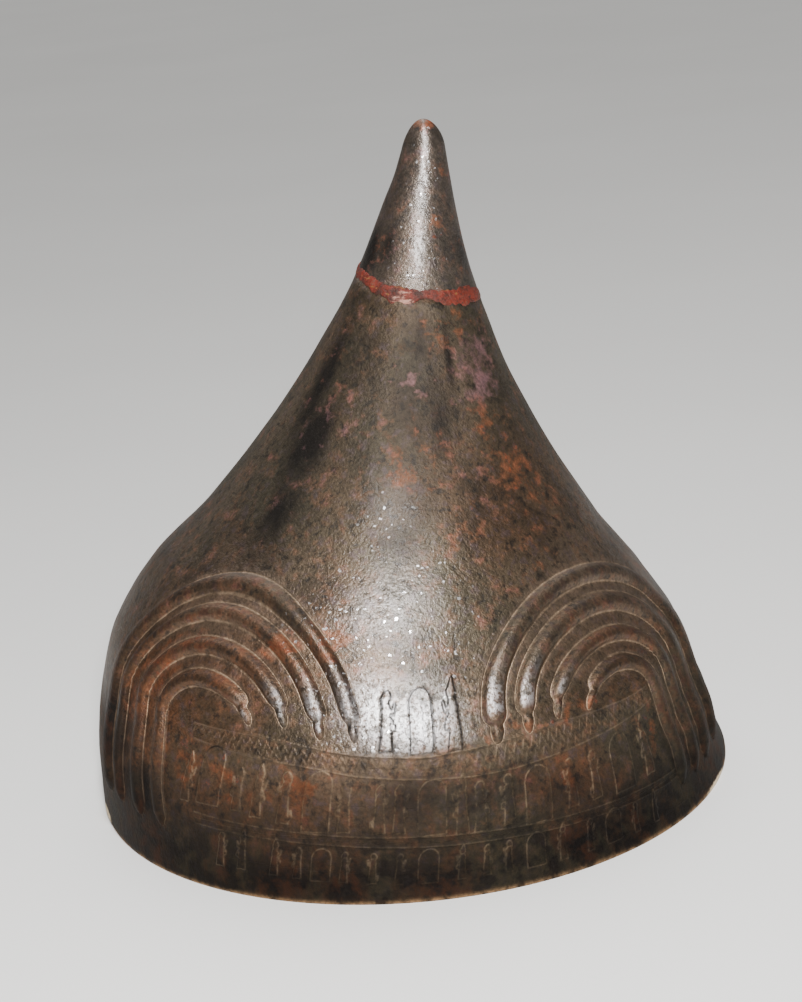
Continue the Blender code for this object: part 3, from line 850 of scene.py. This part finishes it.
# Reflectance of the bronze and of what lies on it, with the colours of its painted shade, highlight
# and glints
BRONZE = {
    "dark brown": (0.050, 0.038, 0.027),
    "brown": (0.120, 0.080, 0.050),
    "olive": (0.090, 0.076, 0.050),
    "warm brown": (0.180, 0.076, 0.036),
    "pale brown": (0.190, 0.138, 0.096),
    "red mottle": (0.200, 0.100, 0.056),
    "violet grey": (0.120, 0.086, 0.094),
    "pit": (0.030, 0.026, 0.024),
    "tip grey": (0.092, 0.082, 0.080),
    "matt": (0.030, 0.028, 0.023),
    "dark stain": (0.016, 0.014, 0.013),
    "violet": (0.290, 0.150, 0.165),
    "rust": (0.230, 0.082, 0.036),
    "fire red": (0.360, 0.085, 0.026),
    "rib ground": (0.200, 0.140, 0.100),
    "crest black": (0.036, 0.028, 0.022),
    "crest red": (0.110, 0.040, 0.020),
    "worn line": (0.340, 0.250, 0.155),
    "painted shade line": (0.030, 0.024, 0.020),
    "rib edge": (0.400, 0.285, 0.185),
    "shaded foot olive": (0.018, 0.016, 0.010),
    "shaded foot red": (0.027, 0.011, 0.006),
    "shaded foot black": (0.004, 0.003, 0.003),
    "rim": (0.360, 0.220, 0.115),
    "grain": (0.016, 0.013, 0.011),
    "bare_and_highlight": (0.720, 0.705, 0.710),
    "speck shade": (0.016, 0.014, 0.014),
    "glint_speck": (0.900, 0.880, 0.880),
    "crust": (0.620, 0.500, 0.340),
}
BRONZE_METALLIC = 0.85
# Height of the band's top line in the middle, in metres: drawn lines are pale below it, and dark
# above as painted shade
PALE_LINES_TOP = (0.0445, 0.0475)
MATT_FROM = (0.096, 0.120)
MATT_TO = (0.162, 0.185)
# Heights in metres over which the foot's painted shade fades; the colour darkens towards the bottom
SHADED_FOOT_TOP = (0.004, 0.064)
ROUGH_FOOT_TOP = (0.038, 0.050)


class Bronze(Nodes):
    """Patina of the bowl and of the tip; shade scales the colours and grey greys them."""

    def __init__(self, name, shade=1.0, grey=0.0):
        super().__init__(name)
        self.shade = shade
        self.grey = grey
        self.broad = self.noise(16.0, 4.0, 0.6)
        self.streak = self.noise(56.0, 6.0, 0.64, (1.0, 1.0, 0.32))
        self.mottle = self.noise(180.0, 6.0, 0.63)
        self.other = self.noise(300.0, 6.0, 0.64, None, (0.3, 0.1, 0.7))
        self.grain = self.noise(850.0, 3.0, 0.6)
        self.up = self.node("ShaderNodeSeparateXYZ", {"Vector": self.place}, 2)
        self.matt = self.times(
            self.smooth(self.up, *MATT_FROM), self.smooth(self.up, *MATT_TO, 1.0, 0.0)
        )
        self.polish = self.attribute("polish")
        colour = self.stains(self.patina())
        colour = self.drawing(self.ribs(colour))
        colour = self.mix(self.ramp(self.grain, 0.36, 0.60, 0.36, 0.0), colour, self.tint("grain"))
        colour = self.painted_glints(self.worn(colour))
        self.crust = self.ramp(
            self.add(self.attribute("crust"), self.times(self.grain, 0.6)), 0.55, 0.85
        )
        self.set("Base Color", self.mix(self.crust, colour, self.tint("crust")))
        self.set_gloss()
        self.set_bump()

    def tint(self, name):
        return tuple(value * self.shade for value in BRONZE[name])

    def patina(self):
        """Brown, olive and grey mottling."""
        tint = self.tint
        colour = self.mix(self.ramp(self.streak, 0.38, 0.60), tint("dark brown"), tint("brown"))
        colour = self.mix(self.ramp(self.broad, 0.44, 0.60, 0.0, 0.7), colour, tint("olive"))
        warm = self.times(self.attribute("warm"), self.ramp(self.mottle, 0.36, 0.56, 0.35, 1.0))
        colour = self.mix(warm, colour, tint("warm brown"))
        # pale patina, and painted sheen at the far sides
        pale = self.times(self.attribute("pale"), self.ramp(self.streak, 0.36, 0.60, 0.4, 1.0))
        colour = self.mix(pale, colour, tint("pale brown"))
        colour = self.mix(self.ramp(self.mottle, 0.51, 0.66, 0.0, 0.65), colour, tint("red mottle"))
        colour = self.mix(self.ramp(self.other, 0.53, 0.64, 0.0, 0.45), colour, tint("violet grey"))
        colour = self.mix(self.ramp(self.other, 0.46, 0.36, 0.0, 0.75), colour, tint("pit"))
        colour = self.mix(self.grey, colour, tint("tip grey"))
        return self.mix(self.times(self.matt, 0.26), colour, tint("matt"))

    def stains(self, colour):
        """Dark, violet and rust stains, where the painted fields and the noise together are high."""
        tint = self.tint
        dark = self.add(self.times(self.attribute("dark"), 0.62), self.streak)
        colour = self.mix(self.ramp(dark, 0.70, 1.05, 0.0, 0.92), colour, tint("dark stain"))
        violet = self.add(self.times(self.attribute("violet"), 0.22), self.mottle)
        colour = self.mix(self.ramp(violet, 0.62, 0.86, 0.0, 0.75), colour, tint("violet"))
        rust = self.add(self.times(self.attribute("rust"), 0.28), self.mottle)
        self.rust = self.ramp(rust, 0.66, 0.84)
        colour = self.mix(self.times(self.rust, 0.80), colour, tint("rust"))
        fire = self.add(self.times(self.attribute("rust"), 0.26), self.other)
        fire = self.ramp(fire, 0.77, 0.90)
        return self.mix(self.times(fire, 0.8), colour, tint("fire red"))

    def ribs(self, colour):
        """Pale ground beside the ribs, and darker crests."""
        tint = self.tint
        rib = self.attribute("rib")
        ground = self.times(self.smooth(rib, -2.6, -0.6), self.smooth(rib, -0.1, 0.7, 1.0, 0.0))
        ground = self.times(ground, self.ramp(self.mottle, 0.36, 0.62, 0.20, 0.60))
        colour = self.mix(ground, colour, tint("rib ground"))
        crest = self.times(self.smooth(rib, 0.0, 1.4, 0.0, 0.60), self.ramp(self.other, 0.40, 0.60))
        crest_colour = self.mix(
            self.ramp(self.streak, 0.44, 0.60), tint("crest black"), tint("crest red")
        )
        return self.mix(crest, colour, crest_colour)

    def drawing(self, colour):
        """Worn pale outlines, dark outlines in the middle scene as painted shade, the foot darkened
        towards the bottom as painted shade, and the rim.
        """
        tint = self.tint
        drawn = self.stroke("drawn", 0.50)
        lines = self.math("MAXIMUM", drawn, self.times(self.stroke("lines", 0.50), 0.7))
        lines = self.math("MAXIMUM", lines, self.times(self.stroke("hatch", 0.45), 0.30))
        above = self.ramp(self.up, *PALE_LINES_TOP, 0.0, 1.0)
        hidden = self.ramp(self.attribute("dark"), 0.35, 0.85, 1.0, 0.40)
        wear = self.times(self.ramp(self.mottle, 0.36, 0.62, 0.10, 1.0), hidden)
        broken = self.ramp(self.other, 0.42, 0.55, 0.15, 1.0)
        worn = self.times(lines, wear, broken, self.ramp(above, 0.0, 1.0, 0.72, 0.0))
        colour = self.mix(worn, colour, tint("worn line"))
        # dark outlines above the band: painted shade along the raised figures' edges
        colour = self.mix(self.times(drawn, above, 0.85), colour, tint("painted shade line"))
        rib_edge = self.times(self.stroke("rib", 0.55), wear, 0.80)
        colour = self.mix(rib_edge, colour, tint("rib edge"))

        # painted shade on the foot: olive, red and black mottles, darker towards the bottom
        shaded_foot_colour = self.mix(
            self.ramp(self.streak, 0.44, 0.58), tint("shaded foot olive"), tint("shaded foot red")
        )
        shaded_foot_colour = self.mix(self.ramp(self.mottle, 0.58, 0.44), shaded_foot_colour, tint("shaded foot black"))
        height = self.smooth(self.up, *SHADED_FOOT_TOP)
        foot = self.times(
            self.ramp(height, 0.0, 1.0, 0.90, 0.0), self.ramp(lines, 0.2, 1.0, 1.0, 0.82)
        )
        colour = self.mix(foot, colour, shaded_foot_colour)
        rim = self.times(self.attribute("rim"), self.ramp(self.mottle, 0.40, 0.56, 0.15, 1.0))
        return self.mix(rim, colour, tint("rim"))

    def worn(self, colour):
        """Pale worn metal in the middle and on the ribs' front legs, set where the lamps' highlight
        falls: partly wear, partly painted highlight.
        """
        bare_and_highlight = self.times(
            self.attribute("bare_and_highlight"), self.ramp(self.other, 0.42, 0.49, 0.15, 1.0),
            self.ramp(self.grain, 0.39, 0.49, 0.15, 1.0),
        )
        return self.mix(self.times(bare_and_highlight, 0.84), colour, self.tint("bare_and_highlight"))

    def painted_glints(self, colour):
        """Pale metal specks shown where the coat gloss is high, as painted glints, each with a
        painted shadow below its right side.
        """
        glint_speck = self.specks(self.place)
        glint_shadow = self.specks(self.moved(self.place, (0.0004, 0.0, -0.0002)))
        shown = self.ramp(self.polish, 0.15, 0.60)
        # painted shadow beside each glint
        colour = self.mix(self.times(glint_shadow, shown, 0.80), colour, self.tint("speck shade"))
        self.glint_speck = self.times(glint_speck, shown)
        return self.mix(self.glint_speck, colour, self.tint("glint_speck"))

    def set_gloss(self):
        self.set("Metallic", self.ramp(self.crust, 0.0, 1.0, BRONZE_METALLIC, 0.0))
        rough = self.add(
            self.ramp(self.mottle, 0.35, 0.65, 0.42, 0.52), self.times(self.polish, -0.10),
            self.times(self.glint_speck, -0.16), self.times(self.matt, 0.14),
            self.ramp(self.up, *ROUGH_FOOT_TOP, 0.30, 0.0),
        )
        rough = self.add(rough, self.times(self.rust, 0.08), self.times(self.crust, 0.30))
        self.set("Roughness", rough)
        self.set("IOR", 1.45)
        self.set("Specular IOR Level", 0.35)
        self.set("Coat Weight", self.times(self.polish, self.ramp(self.other, 0.42, 0.62, 1.0, 0.5)))
        self.set("Coat Roughness", 0.16)

    def set_bump(self):
        """Fine skin and the outlines, in millimetres."""
        skin = self.add(
            self.times(self.grain, 0.24), self.times(self.other, 0.26),
            self.times(self.noise(1500.0, 2.0, 0.5), 0.09),
        )
        height = self.add(
            self.times(self.add(skin, -0.295), self.ramp(self.glint_speck, 0.0, 1.0, 1.0, 0.2)),
            self.times(self.stroke("rib", 0.55), -0.16),
            self.times(self.smooth(self.attribute("drawn"), -0.35, 0.35), 0.16),
            self.times(self.stroke("lines", 0.60), 0.14),
            self.times(self.smooth(self.attribute("hatch"), -0.4, 0.4), 0.08),
        )
        bump = self.bump(height)
        self.set("Normal", bump)
        self.set("Coat Normal", bump)


def filler_material():
    brown, red, ochre = (0.036, 0.013, 0.009), (0.125, 0.018, 0.010), (0.080, 0.044, 0.026)
    pink, rusty, black = (0.360, 0.190, 0.140), (0.180, 0.080, 0.025), (0.020, 0.010, 0.008)
    n = Nodes("red_filler_look")
    broad = n.noise(190.0, 6.0, 0.70)
    fine = n.noise(700.0, 5.0, 0.65)
    cracks = n.noise(240.0, 5.0, 0.65, (1.0, 1.0, 3.2))
    colour = n.mix(n.ramp(broad, 0.38, 0.56), brown, red)
    colour = n.mix(n.ramp(broad, 0.58, 0.66, 0.0, 0.7), colour, ochre)
    pale = n.ramp(n.add(n.times(n.attribute("pale"), 0.34), cracks), 0.74, 0.86)
    colour = n.mix(n.times(pale, 0.9), colour, pink)
    colour = n.mix(n.ramp(cracks, 0.40, 0.34, 0.0, 0.8), colour, rusty)
    colour = n.mix(n.ramp(fine, 0.54, 0.68, 0.0, 0.85), colour, black)
    n.set("Base Color", colour)
    n.set("Roughness", n.ramp(fine, 0.3, 0.7, 0.40, 0.62))
    n.set("Specular IOR Level", 0.25)
    n.set("Normal", n.bump(n.add(n.times(fine, 0.50), n.times(broad, 0.6))))
    return n.material


def floor_material():
    n = Nodes("floor_look")
    shade = n.ramp(n.noise(3.0, 3.0), 0.3, 0.7)
    n.set("Base Color", n.mix(shade, (0.76, 0.75, 0.73), (0.79, 0.78, 0.76)))
    n.set("Roughness", 0.9)
    return n.material


TIP_SHADE = 1.22
TIP_GREY = 0.38
bowl = build_bowl()
tip = build_tip()
filler = build_filler()
bowl.data.materials.append(Bronze("bronze_patina_look").material)
tip.data.materials.append(Bronze("bronze_tip_look", TIP_SHADE, TIP_GREY).material)
filler.data.materials.append(filler_material())
for piece, node, slot in (
    (bowl, "helmet_bowl", "bronze_patina"),
    (tip, "spire_tip", "bronze_tip"),
    (filler, "seam_fill", "red_filler"),
):
    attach(piece, "root")
    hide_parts(node)

# Floor
REACH = 40
floor_mesh = bpy.data.meshes.new("floor")
corners = [(-REACH, -REACH, 0), (REACH, -REACH, 0), (REACH, REACH, 0), (-REACH, REACH, 0)]
floor_mesh.from_pydata(corners, [], [(0, 1, 2, 3)])
floor = bpy.data.objects.new("floor", floor_mesh)
bpy.context.scene.collection.objects.link(floor)
floor_mesh.materials.append(floor_material())

# Camera: azimuth, elevation, roll and distance read from the photograph's outline
AIM = Vector((0.0, 0.0, 0.10))
DISTANCE = 0.85
ELEVATION = math.radians(16.27)
AZIMUTH = math.radians(-5.12)
ROLL = math.radians(5.60)
FOCAL_PIXELS = 2400.7
PICTURE_HEIGHT = 1002
SHIFT_PIXELS = (12.6, -2.1)
SENSOR_HEIGHT = 36.0
forward = Vector((
    -math.sin(AZIMUTH) * math.cos(ELEVATION),
    math.cos(AZIMUTH) * math.cos(ELEVATION),
    -math.sin(ELEVATION),
))
right = Vector((math.cos(AZIMUTH), math.sin(AZIMUTH), 0.0))
up = right.cross(forward)
rolled_right = right * math.cos(ROLL) - up * math.sin(ROLL)
rolled_up = right * math.sin(ROLL) + up * math.cos(ROLL)
eye = AIM - forward * DISTANCE
lens = bpy.data.cameras.new("camera")
lens.sensor_fit = "VERTICAL"
lens.sensor_height = SENSOR_HEIGHT
lens.lens = FOCAL_PIXELS / PICTURE_HEIGHT * SENSOR_HEIGHT
lens.shift_x = SHIFT_PIXELS[0] / PICTURE_HEIGHT
lens.shift_y = SHIFT_PIXELS[1] / PICTURE_HEIGHT
lens.dof.use_dof = False
lens.clip_start = 0.01
camera = bpy.data.objects.new("camera", lens)
turn = Matrix((rolled_right, rolled_up, -forward)).transposed().to_4x4()
camera.matrix_world = Matrix.Translation(eye) @ turn
bpy.context.scene.collection.objects.link(camera)
bpy.context.scene.camera = camera


# Light: a small lamp beside the camera, a softer one above the front, a soft sky and a wide sun
def area(name, place, aim, size, power):
    data = bpy.data.lights.new(name, "AREA")
    data.shape = "DISK"
    data.size = size
    data.energy = power
    thing = bpy.data.objects.new(name, data)
    thing.location = place
    thing.rotation_euler = (Vector(aim) - Vector(place)).to_track_quat("-Z", "Y").to_euler()
    bpy.context.scene.collection.objects.link(thing)


LAMP_RIGHT = 0.02
LAMP_UP = 0.06
HIGH_AZIMUTH = AZIMUTH + 0.05
HIGH_ELEVATION = 0.98
HIGH_DISTANCE = 1.2
SUN_TILT = -0.65
SKY = (0.90, 0.90, 0.88, 1.0)
SKY_STRENGTH = 0.20
area("near", eye + rolled_right * LAMP_RIGHT + up * LAMP_UP, AIM, 0.07, 9.0)
level = Vector((math.sin(HIGH_AZIMUTH), -math.cos(HIGH_AZIMUTH), 0.0))
raised_way = level * math.cos(HIGH_ELEVATION) + Vector((0, 0, 1)) * math.sin(HIGH_ELEVATION)
area("high", AIM + raised_way * HIGH_DISTANCE, AIM, 0.26, 18.0)
sun = bpy.data.lights.new("top", "SUN")
sun.energy = 1.6
sun.angle = 0.9
top_light = bpy.data.objects.new("top", sun)
top_light.rotation_euler = (SUN_TILT, 0.0, 0.0)
bpy.context.scene.collection.objects.link(top_light)
world = bpy.data.worlds.new("studio")
world.use_nodes = True
background = world.node_tree.nodes["Background"]
background.inputs["Color"].default_value = SKY
background.inputs["Strength"].default_value = SKY_STRENGTH
bpy.context.scene.world = world
